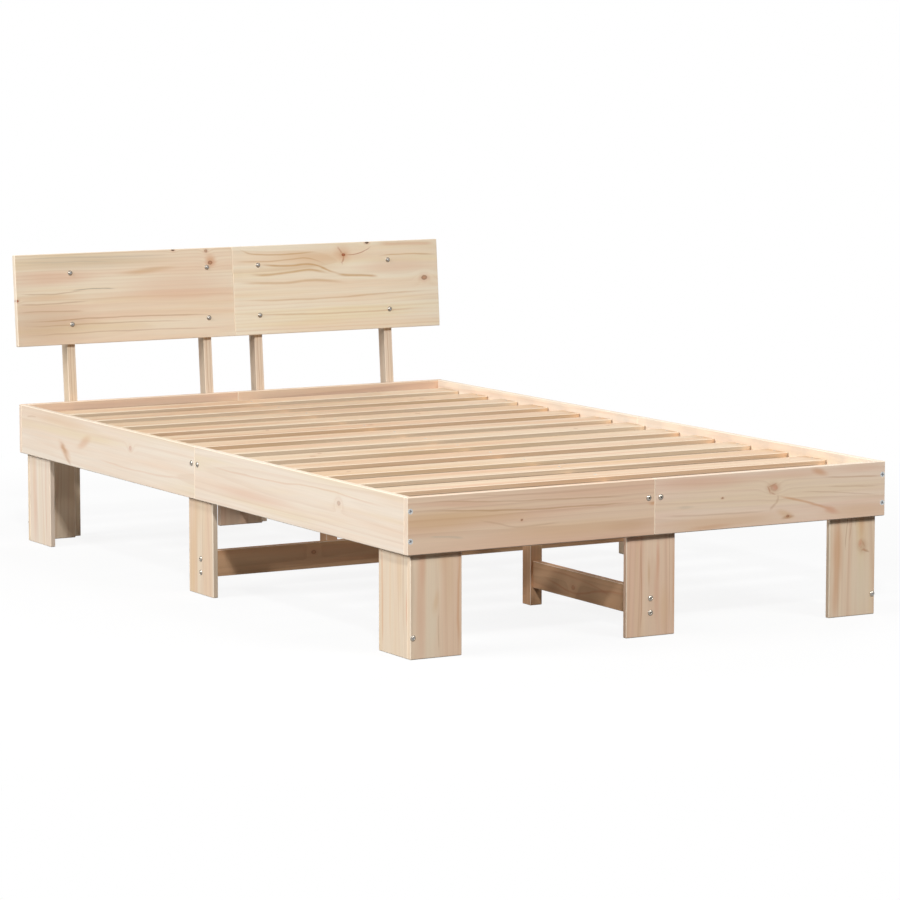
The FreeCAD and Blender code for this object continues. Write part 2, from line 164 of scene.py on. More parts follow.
def late_wood(tree, reach):
    """How much late wood there is: each year's soft wood deepens to a thin line, then stops.

    It rises from 0.35 to 0.9 of a ring's width and falls away from 0.92 to 1. A year's strength is
    its own chance number to the power of 2.2, scaled to between 0.22 and 1, because only the odd
    dry year is dark enough to see from a step away.
    """
    rings = add(tree, "Math", {0: reach, 1: RING_WIDTH * MM}, operation="DIVIDE")[0]
    within = add(tree, "Math", {0: rings}, operation="FRACT")[0]
    number = add(tree, "Math", {0: rings}, operation="FLOOR")[0]
    chance = add(tree, "TexWhiteNoise", {"W": number}, noise_dimensions="1D")["Value"]
    chance = add(tree, "Math", {0: chance, 1: 2.2}, operation="POWER")[0]
    year = add(tree, "MapRange", {0: chance, 3: 0.22, 4: 1.0})[0]
    rise = add(tree, "MapRange", {0: within, 1: 0.35, 2: 0.9}, **SMOOTH)[0]
    fall = add(tree, "MapRange", {0: within, 1: 1.0, 2: 0.92}, **SMOOTH)[0]
    band = add(tree, "Math", {0: rise, 1: fall}, operation="MULTIPLY")[0]
    return add(tree, "Math", {0: band, 1: year}, operation="MULTIPLY")[0]


def bare_wood(tree, place, seed, late, tones, contrast):
    """The wood's colour without marks, and its fibres.

    Noise mixes the three early tones in long soft bands, the late tone goes over them by the
    contrast's share, and the fibres make it up to 4 per cent paler or darker.
    """
    broad = add(tree, "VectorMath", {0: place, 1: COLOUR_WAVES}, operation="MULTIPLY")[0]
    blush = add(tree, "TexNoise", {"Vector": broad, "W": seed + 9.5, "Scale": 1, "Detail": 3},
                **IN_4D)[1]
    blush = add(tree, "SeparateColor", {0: blush})
    rosy = add(tree, "MapRange", {0: blush[0], 1: 0.38, 2: 0.66}, **SMOOTH)[0]
    golden = add(tree, "MapRange", {0: blush[1], 1: 0.5, 2: 0.74, 4: 0.6}, **SMOOTH)[0]
    streaks = add(tree, "VectorMath", {0: place, 1: FIBRE_WAVES}, operation="MULTIPLY")[0]
    fibre = add(tree, "TexNoise", {"Vector": streaks, "W": seed, "Scale": 1, "Detail": 4,
                                   "Roughness": 0.68}, **IN_4D)[0]
    cream, rose, gold, brown = (linear(code) for code in tones)
    colour = add(tree, "Mix", {0: rosy, 6: cream, 7: rose}, **COLOURS)[2]
    colour = add(tree, "Mix", {0: golden, 6: colour, 7: gold}, **COLOURS)[2]
    share = add(tree, "Math", {0: late, 1: contrast}, operation="MULTIPLY")[0]
    colour = add(tree, "Mix", {0: share, 6: colour, 7: brown}, **COLOURS)[2]
    shade = add(tree, "MapRange", {0: fibre, 1: 0.25, 2: 0.75, 3: 0.955, 4: 1.038})[0]
    colour = add(tree, "VectorMath", {0: colour, "Scale": shade}, operation="SCALE")[0]
    return colour, fibre


def stain_patches(tree, colour, spot, patches):
    """Soft ellipses of another tone: full at 0.2 of the half axes, and gone at 1.3 of them."""
    for tone, strength, u, v, half_length, half_width, turn in patches:
        centre = (u * MM, v * MM, 0)
        spread = (half_length * MM, half_width * MM, 1e3)
        turned = (0, 0, math.radians(turn))
        there = add(tree, "Mapping", {0: spot, 1: centre, 2: turned, 3: spread},
                    vector_type="TEXTURE")[0]
        there = add(tree, "VectorMath", {0: there}, operation="LENGTH")["Value"]
        there = add(tree, "MapRange", {0: there, 1: 1.3, 2: 0.2, 4: strength}, **SMOOTH)[0]
        colour = add(tree, "Mix", {0: there, 6: colour, 7: linear(STREAK_TONES[tone])}, **COLOURS)[2]
    return colour


def draw_lines(tree, colour, spot, lines, length, width):
    """Lines along the grain, each following a curve v = f(u) through its points.

    The tone fades from the curve outwards, to nothing at 1.7 thicknesses, and it comes and goes
    over the first and last 22 per cent of the line.
    """
    on_face = add(tree, "SeparateXYZ", {0: spot})
    for tone, strength, thickness, route in lines:
        share = add(tree, "Math", {0: on_face[0], 1: 1 / length, 2: 0.5}, operation="MULTIPLY_ADD")[0]
        curve = add(tree, "FloatCurve", {1: share})[0]
        mapping = curve.node.mapping
        bend = mapping.curves[0]
        shares = [(0.5 + u * MM / length, 0.5 + v * MM / width) for u, v in route]
        for point, place in zip(bend.points, (shares[0], shares[-1])):
            point.location = place
        for place in shares[1:-1]:
            bend.points.new(*place)
        mapping.extend = "HORIZONTAL"
        mapping.update()
        off = add(tree, "Math", {0: curve, 1: 0.5}, operation="SUBTRACT")[0]
        off = add(tree, "Math", {0: off, 1: -width, 2: on_face[1]}, operation="MULTIPLY_ADD")[0]
        off = add(tree, "Math", {0: off}, operation="ABSOLUTE")[0]
        ink = add(tree, "MapRange", {0: off, 1: 1.7 * thickness * MM, 2: 0, 4: strength}, **SMOOTH)[0]
        start, end = shares[0][0], shares[-1][0]
        fade = 0.22 * (end - start)
        comes = add(tree, "MapRange", {0: share, 1: start, 2: start + fade}, **SMOOTH)[0]
        goes = add(tree, "MapRange", {0: share, 1: end, 2: end - fade}, **SMOOTH)[0]
        ink = add(tree, "Math", {0: ink, 1: comes}, operation="MULTIPLY")[0]
        ink = add(tree, "Math", {0: ink, 1: goes}, operation="MULTIPLY")[0]
        colour = add(tree, "Mix", {0: ink, 6: colour, 7: linear(STREAK_TONES[tone])}, **COLOURS)[2]
    return colour


def colour_knots(tree, colour, found):
    """Knots, from the outside in: a redder halo, a dark rim and a lighter heart.

    Each fades in between two distances from the knot's middle, given in radii.
    """
    for away, radius, strength, tone in found:
        halo = add(tree, "MapRange", {0: away, 1: KNOT_REACH * radius, 2: 0.7 * radius,
                                      4: 0.45 * strength}, **SMOOTH)[0]
        rim = add(tree, "MapRange", {0: away, 1: 1.1 * radius, 2: 0.75 * radius, 4: strength},
                  **SMOOTH)[0]
        heart = add(tree, "MapRange", {0: away, 1: 0.8 * radius, 2: 0.25 * radius, 4: 0.8}, **SMOOTH)[0]
        rim_tone, heart_tone = (linear(code) for code in KNOT_TONES[tone])
        brown = add(tree, "Mix", {0: heart, 6: rim_tone, 7: heart_tone}, **COLOURS)[2]
        colour = add(tree, "Mix", {0: halo, 6: colour, 7: linear(HALO_TONE)}, **COLOURS)[2]
        colour = add(tree, "Mix", {0: rim, 6: colour, 7: brown}, **COLOURS)[2]
    return colour


def paint_edge_highlights(tree, colour, centred, half, length_axis, bevel):
    """Painted highlight on the edges: each bevel and each end is a little paler than the faces.

    With a, b and c the depths below the board's three pairs of sides, a place is on a bevel where
    the second smallest of them is under the bevel's width. That one is the greater of min(a, b)
    and min(max(a, b), c). It is on an end where the depth along the board is almost nothing.
    """
    inside = add(tree, "VectorMath", {0: centred}, operation="ABSOLUTE")[0]
    inside = add(tree, "VectorMath", {0: half, 1: inside}, operation="SUBTRACT")[0]
    depths = add(tree, "SeparateXYZ", {0: inside})
    lesser = add(tree, "Math", {0: depths[0], 1: depths[1]}, operation="MINIMUM")[0]
    greater = add(tree, "Math", {0: depths[0], 1: depths[1]}, operation="MAXIMUM")[0]
    third = add(tree, "Math", {0: greater, 1: depths[2]}, operation="MINIMUM")[0]
    second = add(tree, "Math", {0: lesser, 1: third}, operation="MAXIMUM")[0]
    # Painted highlight on the bevels, and below it on the ends
    edge = add(tree, "MapRange", {0: second, 1: 1.03 * bevel * MM, 2: 0.93 * bevel * MM, 4: 0.75})[0]
    colour = add(tree, "Mix", {0: edge, 6: colour, 7: linear(BEVEL_HIGHLIGHT_TONE)}, **COLOURS)[2]
    end = add(tree, "MapRange", {0: depths[length_axis], 1: 0.4 * MM, 2: 0.2 * MM, 4: 0.55})[0]
    return add(tree, "Mix", {0: end, 6: colour, 7: linear(END_HIGHLIGHT_TONE)}, **COLOURS)[2]


def pine(node, along, through, tones, pith, knots=(), lines=(), patches=(), contrast=0.3,
         swirl=4.0, lean=0.0, bevel=1.5):
    """Planed pine for one board, as a solid texture cut from its own place in the log.

    along and through name the axes of the board's length and thickness. u runs along the board, v
    across it and w through it, all from its middle. Sizes are in mm, turns in degrees, and every
    strength is a share of one.
    tones: early wood in cream, rose and gold, and late wood
    pith: v, w, and its turns towards v and towards w
    knots: each u, v, radius, strength, tone
    lines: each tone, strength, thickness and the (u, v) points of its curve
    patches: each tone, strength, u, v, half length, half width, turn
    contrast: strength of the late wood; swirl: how unevenly round the log is
    lean: how far the board leans back; bevel: width of its bevelled edges
    """
    tip = math.radians(lean)
    middle, half = board_box(node, tip)
    across = ({"X", "Y", "Z"} - {along, through}).pop()
    length_axis = "XYZ".index(along)
    length, width = 2 * half[length_axis], 2 * half["XYZ".index(across)]
    # Each board's noise starts from a number made of the letters of its name
    seed = sum(ord(letter) * (index + 3) for index, letter in enumerate(node)) % 97
    material = bpy.data.materials.new("planed_pine_" + node)
    material.use_nodes = True
    tree = material.node_tree
    shader = tree.nodes["Principled BSDF"]

    # Place on the board, and the same with a small stray so that no mark in it is quite straight
    spot = add(tree, "TexCoord", {})["Object"]
    centred = add(tree, "Mapping", {0: spot, 1: middle, 2: (-tip, 0, 0)}, vector_type="TEXTURE")[0]
    sides = add(tree, "SeparateXYZ", {0: centred})
    place = add(tree, "CombineXYZ", {0: sides[along], 1: sides[across], 2: sides[through]})[0]
    ruffle = add(tree, "VectorMath", {0: place, 1: MARK_WAVES}, operation="MULTIPLY")[0]
    ruffle = add(tree, "TexNoise", {"Vector": ruffle, "W": seed + 3.5, "Scale": 1, "Detail": 2},
                 **IN_4D)[1]
    ruffle = add(tree, "VectorMath", {0: ruffle, 1: (0.5, 0.5, 0.5)}, operation="SUBTRACT")[0]
    stray = (MARK_STRAY[0] * MM, MARK_STRAY[1] * MM, 0)
    loose = add(tree, "VectorMath", {0: ruffle, 1: stray, 2: place}, operation="MULTIPLY_ADD")[0]

    reach = from_pith(tree, place, seed, pith, swirl)
    reach, found = bend_round_knots(tree, place, reach, knots)
    late = late_wood(tree, reach)
    colour, fibre = bare_wood(tree, place, seed, late, tones, contrast)
    colour = stain_patches(tree, colour, loose, patches)
    colour = draw_lines(tree, colour, loose, lines, length, width)
    colour = colour_knots(tree, colour, found)
    colour = paint_edge_highlights(tree, colour, centred, half, length_axis, bevel)

    # Late wood is denser, so it takes a little more shine and stands a hair proud after planing.
    # Unsealed pine mirrors about half as much as a sealed face does.
    gloss = add(tree, "MapRange", {0: late, 3: 0.7, 4: 0.58})[0]
    height = add(tree, "Math", {0: fibre, 1: 0.5, 2: late}, operation="MULTIPLY_ADD")[0]
    relief = add(tree, "Bump", {"Height": height, "Strength": 0.3, "Distance": 0.1 * MM})[0]
    for socket, source in (("Base Color", colour), ("Roughness", gloss), ("Normal", relief)):
        tree.links.new(source, shader.inputs[socket])
    shader.inputs["Specular IOR Level"].default_value = 0.22
    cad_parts[node].material_slots[0].material = material


FOOT_TONES = ("#ECD0B5", "#E8C4A9", "#E3C39B", "#BB8966")
PALE_FOOT_TONES = ("#F3DDC7", "#EFD1BA", "#EED7B6", "#C79B7B")
SIDE_TONES = ("#F0E2D1", "#EED9C4", "#EAD6B4", "#CFA785")
pine("foot_board_left", "X", "Y", FOOT_TONES, pith=(-45, -90, 0.5, 0.3),
     knots=[(-29, -5, 2.2, 0.8, "brown")],
     lines=[("brown", 0.4, 1.5, [(-290, 50), (-200, 46), (-121, 41), (-30, 37), (96, 33), (290, 27)]),
            ("brown", 0.55, 2.0, [(-292, 30), (-215, 28), (-92, 20), (32, 16), (180, 14), (292, 13)]),
            ("brown", 0.28, 1.8, [(-150, 4), (-88, -8), (-38, -19), (12, -20), (80, -15)]),
            ("grey", 0.5, 2.4, [(-260, -24), (-215, -28), (-170, -33)]),
            ("brown", 0.25, 1.4, [(-200, 57), (0, 50), (200, 46)])],
     patches=[("gold", 0.5, -245, 5, 110, 24, 0), ("gold", 0.35, -110, 9, 130, 12, -3),
              ("rosy", 0.35, -190, 40, 130, 7, -3), ("rosy", 0.3, 150, 42, 170, 12, 0),
              ("rosy", 0.28, 0, -46, 300, 20, 0), ("brown", 0.22, 236, -36, 70, 14, 0),
              ("gold", 0.35, 110, -32, 210, 20, 0), ("orange", 0.6, 306, 8, 14, 5, 0)])
# The right half has a pale round knot ringed with red, and a scar that sweeps down from it
pine("foot_board_right", "X", "Y", PALE_FOOT_TONES, pith=(-50, -95, -0.8, 0.6), contrast=0.22,
     knots=[(6, 21, 7.5, 0.3, "rosy"), (43, -45, 3.2, 0.7, "brown"), (-132, 7, 2.2, 0.65, "brown")],
     lines=[("brown", 0.3, 1.9,
             [(-306, -23), (-190, -27), (-124, -28), (-58, -29), (-22, -29), (2, -24)]),
            ("orange", 0.6, 2.6, [(10, 2), (40, -4), (68, -10), (100, -19), (135, -29), (165, -40)]),
            ("brown", 0.4, 1.5, [(132, 38), (215, 32), (300, 28)]),
            ("brown", 0.3, 1.4, [(140, 16), (220, 10), (296, 7)]),
            ("brown", 0.3, 1.4, [(68, 9), (180, -1), (300, -14)])],
     patches=[("gold", 0.4, -130, -46, 190, 20, 0), ("gold", 0.35, 235, -46, 100, 20, 0),
              ("brown", 0.32, 2, 22, 20, 15, 0), ("rosy", 0.8, 8, 23, 7, 7, 0),
              ("red", 0.5, 1, 28, 11, 2.2, 20), ("red", 0.55, -8, 18, 10, 2.4, -72),
              ("red", 0.4, 2, 9, 9, 2.2, -20), ("brown", 0.3, 13, -6, 13, 3.5, 75),
              ("brown", 0.35, 4, -20, 12, 4, 50), ("gold", 0.5, 36, -39, 26, 9, -20),
              ("brown", 0.6, 42, -46, 17, 4.5, 8), ("rosy", 0.75, 160, -38, 26, 8, -18),
              ("orange", 0.6, 127, 50, 24, 9, -16), ("rosy", 0.45, -168, 46, 160, 16, 0),
              ("rosy", 0.3, 60, 50, 120, 12, 0), ("rosy", 0.3, 235, 52, 80, 10, 0),
              ("orange", 0.3, -164, -55, 60, 6, 0), ("grey", 0.35, -230, -6, 24, 4, 0)])
pine("head_rail_left", "X", "Y", FOOT_TONES, pith=(-22, 85, 0.6, -0.6),
     knots=[(120, 18, 6, 0.6, "brown")],
     lines=[("brown", 0.4, 1.6, [(-300, 22), (-60, 30), (110, 40), (300, 26)])])
pine("head_rail_right", "X", "Y", FOOT_TONES, pith=(16, 100, -0.5, 0.7),
     knots=[(-70, -22, 5, 0.6, "brown")],
     lines=[("brown", 0.4, 1.6, [(-300, -10), (-160, -16), (-60, -38), (300, -30)])])
pine("side_rail_left_head", "Y", "X", SIDE_TONES, pith=(-12, -110, 0.4, 0.4), contrast=0.2,
     knots=[(-150, 20, 6, 0.35, "rosy")],
     lines=[("brown", 0.3, 1.5, [(404, 41), (440, 38), (470, 36)]),
            ("orange", 0.25, 2.0, [(-480, -18), (-200, -30), (60, -24)])],
     patches=[("orange", 0.4, 234, -28, 42, 16, 30), ("brown", 0.5, 240, -23, 22, 10, 35),
              ("brown", 0.35, 216, -48, 26, 6, 30), ("orange", 0.4, 118, 6, 46, 13, -20),
              ("gold", 0.3, 250, 44, 200, 12, 0)])
pine("side_rail_left_foot", "Y", "X", SIDE_TONES, pith=(18, -90, -0.4, 0.5), contrast=0.22,
     knots=[(-210, 14, 6, 0.35, "brown")],
     lines=[("orange", 0.3, 1.8, [(-480, 30), (-230, 34), (-190, 36), (200, 24), (480, 28)])],
     patches=[("rosy", 0.35, 200, -20, 220, 16, 0)])
pine("side_rail_right_head", "Y", "X", SIDE_TONES, pith=(8, 95, 0.5, -0.5), contrast=0.25,
     knots=[(-160, 22, 7, 0.5, "brown")],
     lines=[("brown", 0.3, 1.6, [(-480, 6), (-200, 0), (-120, -2), (300, 12)])])
pine("side_rail_right_foot", "Y", "X", SIDE_TONES, pith=(-20, 105, -0.4, 0.7), contrast=0.25,
     knots=[(240, -16, 6, 0.5, "brown"), (-330, 30, 5, 0.4, "rosy")],
     lines=[("brown", 0.3, 1.6, [(-400, -30), (0, -36), (220, -40), (460, -28)])])

# Legs. Each corner leg is two pine boards on end in an L, the outer one lapping the other's edge,
# and a single board stands behind each seam. Their grain is upright and the ends stand on the floor.
LEG_TONES = ("#EFDABF", "#EBCCB0", "#E5C89B", "#C1926E")
LEG_SIDE_TONES = ("#E8D5BD", "#E6CCB2", "#E3C9A2", "#C89D78")
pine("leg_cover_left_foot", "Z", "Y", LEG_TONES, pith=(-18, -110, 0.6, 0.8), contrast=0.2,
     lines=[("orange", 0.45, 3.0, [(-158, 56), (-29, 54), (60, 57), (158, 56)]),
            ("brown", 0.35, 1.2, [(-150, 7), (-100, 6), (-60, 7)])],
     patches=[("rosy", 0.4, 50, -32, 70, 9, 0), ("rosy", 0.25, -20, -38, 150, 13, 0),
              ("grey", 0.35, -30, -58, 150, 4, 0), ("gold", 0.4, -42, -1, 30, 8, 8),
              ("gold", 0.3, 90, 14, 70, 18, 0), ("cream", 0.45, -92, -7, 44, 11, 0),
              ("gold", 0.25, 30, 32, 120, 14, 0), ("cream", 0.3, 110, -4, 40, 5, 0)])
pine("leg_side_left_foot", "Z", "X", LEG_SIDE_TONES, pith=(20, -110, 0.8, 0.6), contrast=0.2,
     lines=[("orange", 0.5, 3.0, [(-156, 46), (-58, 46), (80, 48)]),
            ("brown", 0.5, 1.3, [(-120, -46), (-20, -45), (50, -46), (120, -47)]),
            ("gold", 0.4, 2.0, [(-150, 10), (0, 12), (150, 8)])],
     patches=[("rosy", 0.7, -54, -60, 42, 4, 0), ("gold", 0.35, 30, -30, 90, 12, 0)])
pine("leg_cover_right_foot", "Z", "Y", LEG_TONES, pith=(24, -100, -0.7, 0.8), contrast=0.25,
     knots=[(0, 24, 5.0, 0.2, "rosy")],
     lines=[("brown", 0.55, 1.1, [(-14, -18), (20, -17), (52, -14), (100, -13)]),
            ("brown", 0.4, 1.1, [(5, -8), (40, -4), (100, -3)]),
            ("brown", 0.35, 1.2, [(40, 8), (80, 12), (110, 12)])],
     patches=[("orange", 0.55, -10, -40, 95, 15, 0), ("orange", 0.4, -110, -44, 60, 12, 0),
              ("cream", 0.6, -80, 25, 90, 26, 0), ("orange", 0.35, 70, 26, 60, 10, 0),
              ("brown", 0.3, -6, 30, 19, 14, 0), ("rosy", 0.75, 5, 22, 11, 5, 20),
              ("red", 0.5, -14, 35, 3.2, 9, 0), ("brown", 0.55, -17, 41, 2.6, 8, 10),
              ("red", 0.35, 2, 31, 11, 2.4, -30)])
pine("leg_side_right_foot", "Z", "X", LEG_SIDE_TONES, pith=(-16, 105, -0.6, 0.8), contrast=0.22,
     knots=[(60, 12, 5, 0.5, "brown")])
for side in ("left", "right"):
    pine("leg_cover_%s_head" % side, "Z", "Y", LEG_TONES, pith=(-18, 100, 0.7, 0.8),
         lines=[("brown", 0.35, 1.3, [(-150, 20), (0, 24), (150, 18)])])
    pine("leg_side_%s_head" % side, "Z", "X", SIDE_TONES, pith=(26, -95, 0.8, 0.7), contrast=0.22,
         lines=[("orange", 0.4, 2.2, [(-150, -40), (-20, -36), (150, -44)])],
         patches=[("orange", 0.5, 140, -40, 20, 9, 20), ("rosy", 0.35, -40, 30, 120, 14, 0)])
pine("middle_leg_foot", "Z", "Y", FOOT_TONES, pith=(6, -100, 0.5, 0.6), contrast=0.25,
     lines=[("red", 0.45, 1.4, [(-158, -26), (-60, -24), (26, -25), (70, -24)]),
            ("brown", 0.35, 1.2, [(-140, 49), (0, 49), (130, 50)])],
     patches=[("rosy", 0.7, 10, 19, 50, 5, 0), ("rosy", 0.4, -60, 16, 70, 8, 0),
              ("ochre", 0.35, -20, -5, 34, 4, 0), ("orange", 0.4, -60, 60, 120, 4, 0),
              ("rosy", 0.4, 100, -30, 60, 14, 0), ("gold", 0.35, -100, 36, 60, 12, 0)])
pine("middle_leg_head", "Z", "Y", FOOT_TONES, pith=(6, 90, 0.5, 0.8))
for side, behind in (("left", -100), ("right", 100)):
    pine("middle_leg_" + side, "Z", "X", LEG_SIDE_TONES, pith=(-8, behind, 0.6, 0.7), contrast=0.25,
         lines=[("brown", 0.4, 1.4, [(-150, -14), (-40, -10), (60, -13), (150, -12)]),
                ("gold", 0.4, 2.4, [(-150, 24), (0, 28), (150, 22)])],
         patches=[("gold", 0.35, -80, 40, 110, 14, 0), ("gold", 0.3, 60, 10, 90, 14, 0)])

# Stretchers and centre posts. A low board runs across between the side legs, and one from each end
# leg to a square post under the middle of the bed. They are plainer pine, the long ones with red
# streaks, and all take a darker, redder tone that is painted shade from under the bed.
# Painted shade: these tones are darker and redder than the other boards'
SHADED_STRETCHER_TONES = ("#D6AE88", "#CF9F7A", "#CBA176", "#8E5E42")
BATTEN_BEVEL = 1
pine("cross_stretcher", "X", "Y", SHADED_STRETCHER_TONES, pith=(12, -70, 0.4, 0.4), contrast=0.4,
     bevel=BATTEN_BEVEL, knots=[(-310, 8, 5, 0.7, "brown"), (180, -12, 4, 0.6, "brown")])
for end in ("foot", "head"):
    pine("long_stretcher_" + end, "Y", "X", SHADED_STRETCHER_TONES, pith=(-14, -60, 0.9, 0.6), contrast=0.4,
         bevel=BATTEN_BEVEL, knots=[(60, -6, 6, 0.45, "red")],
         lines=[("red", 0.5, 2.5, [(-200, 8), (-60, 2), (20, -14), (60, -18), (140, -6), (210, 4)]),
                ("red", 0.35, 2.0, [(-120, -12), (40, 16), (200, 20)])])
    pine("centre_post_" + end, "Z", "Y", SHADED_STRETCHER_TONES, pith=(20, -40, 0.5, 0.6),
         bevel=BATTEN_BEVEL)

# Slat deck. A pine beam in two halves, lapped in the middle, drops into the forks of the posts.
# Ledgers are screwed along the side rails, and thirteen thin slats lie across ledgers and beam.
BATTEN_TONES = ("#E3CBAD", "#DDB996", "#DBB98D", "#B2825F")
SLAT_END = 580
for end in ("foot", "head"):
    pine("centre_beam_" + end, "Y", "X", BATTEN_TONES, pith=(10, -55, 0.4, 0.5), bevel=BATTEN_BEVEL,
         knots=[(-200, 9, 5, 0.6, "brown")])
    for side in ("left", "right"):
        pine("slat_ledger_%s_%s" % (side, end), "Y", "X", BATTEN_TONES, pith=(-10, 50, 0.4, 0.5),
             bevel=BATTEN_BEVEL)
slats = sorted(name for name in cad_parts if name.startswith("slat_") and name[5:].isdigit())

# Each slat has its own place in the log, up to two small knots, one brown line and one rosy patch
dice = np.random.default_rng(7)
for name in slats:
    pith = (dice.uniform(-45, 45), dice.uniform(-110, -60),
            dice.uniform(-0.6, 0.6), dice.uniform(-0.6, 0.6))
    knots = [(dice.uniform(-560, 560), dice.uniform(-30, 30),
              dice.uniform(2.5, 6), dice.uniform(0.4, 0.7), "brown")
             for _ in range(dice.integers(0, 3))]
    rise = dice.uniform(-22, 22)
    ripple = [(u, rise + dice.uniform(-5, 5)) for u in (-SLAT_END, -250, 60, 330, SLAT_END)]
    blush = [("rosy", 0.4, dice.uniform(-400, 400), dice.uniform(-26, 26), 260, 12, 0)]
    pine(name, "X", "Z", BATTEN_TONES, pith, knots, [("brown", 0.4, 1.6, ripple)], blush)

# Headboard. Two wide boards end to end, screwed to four posts that lean back with them from the
# head rail up. The boards are a warmer, yellower pine with flowing ochre lines.
LEAN = 4.65
PANEL_TONES = ("#F1E2CB", "#EDD4BA", "#EBD4AB", "#CA9A65")
PALE_PANEL_TONES = ("#F4E8D2", "#F0DBC0", "#EEDBB1", "#CC9F68")
POST_TONES = ("#E8D6C1", "#E2CCB5", "#DFC9A6", "#B58C6C")
pine("headboard_left", "X", "Y", PANEL_TONES, pith=(-80, -150, 0.4, 0.5), lean=LEAN, swirl=6,
     knots=[(244, 78, 5.5, 0.75, "brown"), (233, 109, 4, 0.6, "brown"), (138, 115, 3.5, 0.9, "dark"),
            (-306, 0, 3.2, 0.9, "red")],
     lines=[("dark", 0.5, 1.0, [(-160, 20), (-137, 22), (-97, 24), (-30, 21)]),
            ("brown", 0.5, 1.5, [(-306, 17), (-243, 14), (-200, 13), (-160, 16), (-110, 21)]),
            ("brown", 0.5, 1.8, [(-312, -8), (-230, -11), (-100, -8)]),
            ("brown", 0.45, 1.5, [(-312, -31), (-230, -30), (-110, -33)]),
            ("brown", 0.55, 1.7, [(-312, -53), (-231, -55), (-60, -52), (280, -58)]),
            ("brown", 0.45, 1.5, [(-312, -65), (-232, -67), (-60, -66), (200, -72)]),
            ("brown", 0.4, 1.6, [(-312, -92), (0, -88), (300, -94)]),
            ("grey", 0.5, 1.4, [(-306, 105), (-155, 106), (-28, 103), (140, 104)]),
            ("grey", 0.45, 1.3, [(-306, 96), (-150, 94), (-28, 91)])],
     patches=[("grey", 0.4, -100, 94, 240, 22, 0), ("ochre", 0.42, 60, 64, 84, 8, 4),
              ("rosy", 0.4, -200, 55, 120, 20, 0), ("rosy", 0.3, 150, 20, 170, 40, 0),
              ("gold", 0.5, -225, 5, 110, 8, 0), ("brown", 0.32, -240, -64, 150, 56, 0),
              ("orange", 0.5, 246, 84, 20, 16, -30)])
# The lines of the right half sweep down past a split knot, whose two cracks are thin red patches
pine("headboard_right", "X", "Y", PALE_PANEL_TONES, pith=(70, -170, -0.5, 0.5), lean=LEAN, swirl=6,
     knots=[(22, 84, 4.2, 0.85, "red"), (94, 115, 4, 0.95, "dark"), (266, 14, 7, 0.7, "brown")],
     lines=[("ochre", 0.6, 1.8,
             [(-300, 116), (-269, 101), (-244, 95), (-180, 91), (-129, 92), (-50, 96)]),
            ("ochre", 0.5, 1.8, [(-312, 77), (-223, 75), (-138, 77), (-85, 79), (-52, 70), (-20, 54)]),
            ("ochre", 0.75, 2.6, [(-240, 68), (-138, 62), (-70, 62), (-44, 52), (-14, 40), (20, 30)]),
            ("ochre", 0.65, 3.0, [(-270, 43), (-203, 40), (-139, 43), (-87, 48), (-55, 44), (-10, 34)]),
            ("ochre", 0.5, 3.4, [(-300, 22), (-149, 17), (-90, 20), (40, 8)]),
            ("ochre", 0.7, 3.4, [(-10, 34), (30, 29), (77, 27), (130, 22)]),
            ("red", 0.8, 1.2, [(24, 84), (50, 84), (75, 89), (92, 96), (108, 106)]),
            ("orange", 0.45, 5.0, [(120, 110), (220, 108), (312, 107)]),
            ("ochre", 0.6, 1.7, [(120, 77), (200, 80), (312, 76)]),
            ("ochre", 0.45, 2.0, [(-310, -24), (-60, -30), (200, -22), (300, -24)]),
            ("ochre", 0.45, 2.0, [(-310, -62), (0, -70), (300, -66)])],
     patches=[("orange", 0.4, 18, 88, 26, 26, 0), ("red", 0.7, 14, 96, 13, 3.0, -60),
              ("red", 0.65, 20, 72, 14, 3.0, 80), ("rosy", 0.3, 180, 50, 120, 24, 0),
              ("ochre", 0.2, -110, 54, 130, 12, 0), ("gold", 0.35, -60, 80, 140, 20, 0),
              ("cream", 0.35, -40, 100, 90, 14, 0)])
for name in sorted(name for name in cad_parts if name.startswith("headboard_post")):
    pine(name, "Z", "Y", POST_TONES, pith=(14, -50, 0.3, 0.4), lean=LEAN, bevel=BATTEN_BEVEL,
         lines=[("brown", 0.5, 1.1, [(-330, -4), (0, -3), (340, -4)]),
                ("brown", 0.35, 1.0, [(-300, 6), (0, 5), (340, 6)])])

# Bolts and screws. Bright plated bolts with a low dome and a six-sided key socket hold the seams,
# stretchers and posts. Duller zinc screws with a cross recess, countersunk, hold the other joints.
# Each is turned from one wire blank and its thread is rolled; no two stop at the same turn.
COUNT = 48
TURN = np.linspace(0, 2 * math.pi, COUNT, endpoint=False)
spin_dice = np.random.default_rng(11)

# Heads, in mm. The dome is part of a ball above an upright rim. The cross recess's span and the
# width of its arms are shares of the head's width.
DOME_RADIUS, DOME_HEIGHT, RIM = 6.5, 3.8, 0.8
KEY_FLATS, KEY_DEPTH = 4.0, 1.8
RECESS_SPAN, RECESS_ARM = 0.62, 0.17

# Shanks, in mm: 6 mm machine bolts, and wood screws of 5 mm and 4 mm
BOLT = {"radius": 3, "core": 2.5, "pitch": 1.0, "point": 0.8}
DOMED_SCREW = {"radius": 2.5, "core": 1.75, "pitch": 2.2, "point": 4}
LONG_SCREW = {"radius": 2.5, "head_radius": 6.2, "head_height": 3.7, "pitch": 2.4, "point": 4}
SMALL_SCREW = {"radius": 2, "head_radius": 4, "head_height": 2, "pitch": 1.9, "point": 4}

# Places, in mm from the middle of the boards' length and width and from the floor. The leaning
# headboard moves the middle of the whole bed back, so the boards' middle has a y of -30.238.
BOARDS_MIDDLE = (0, -30.238, 0)
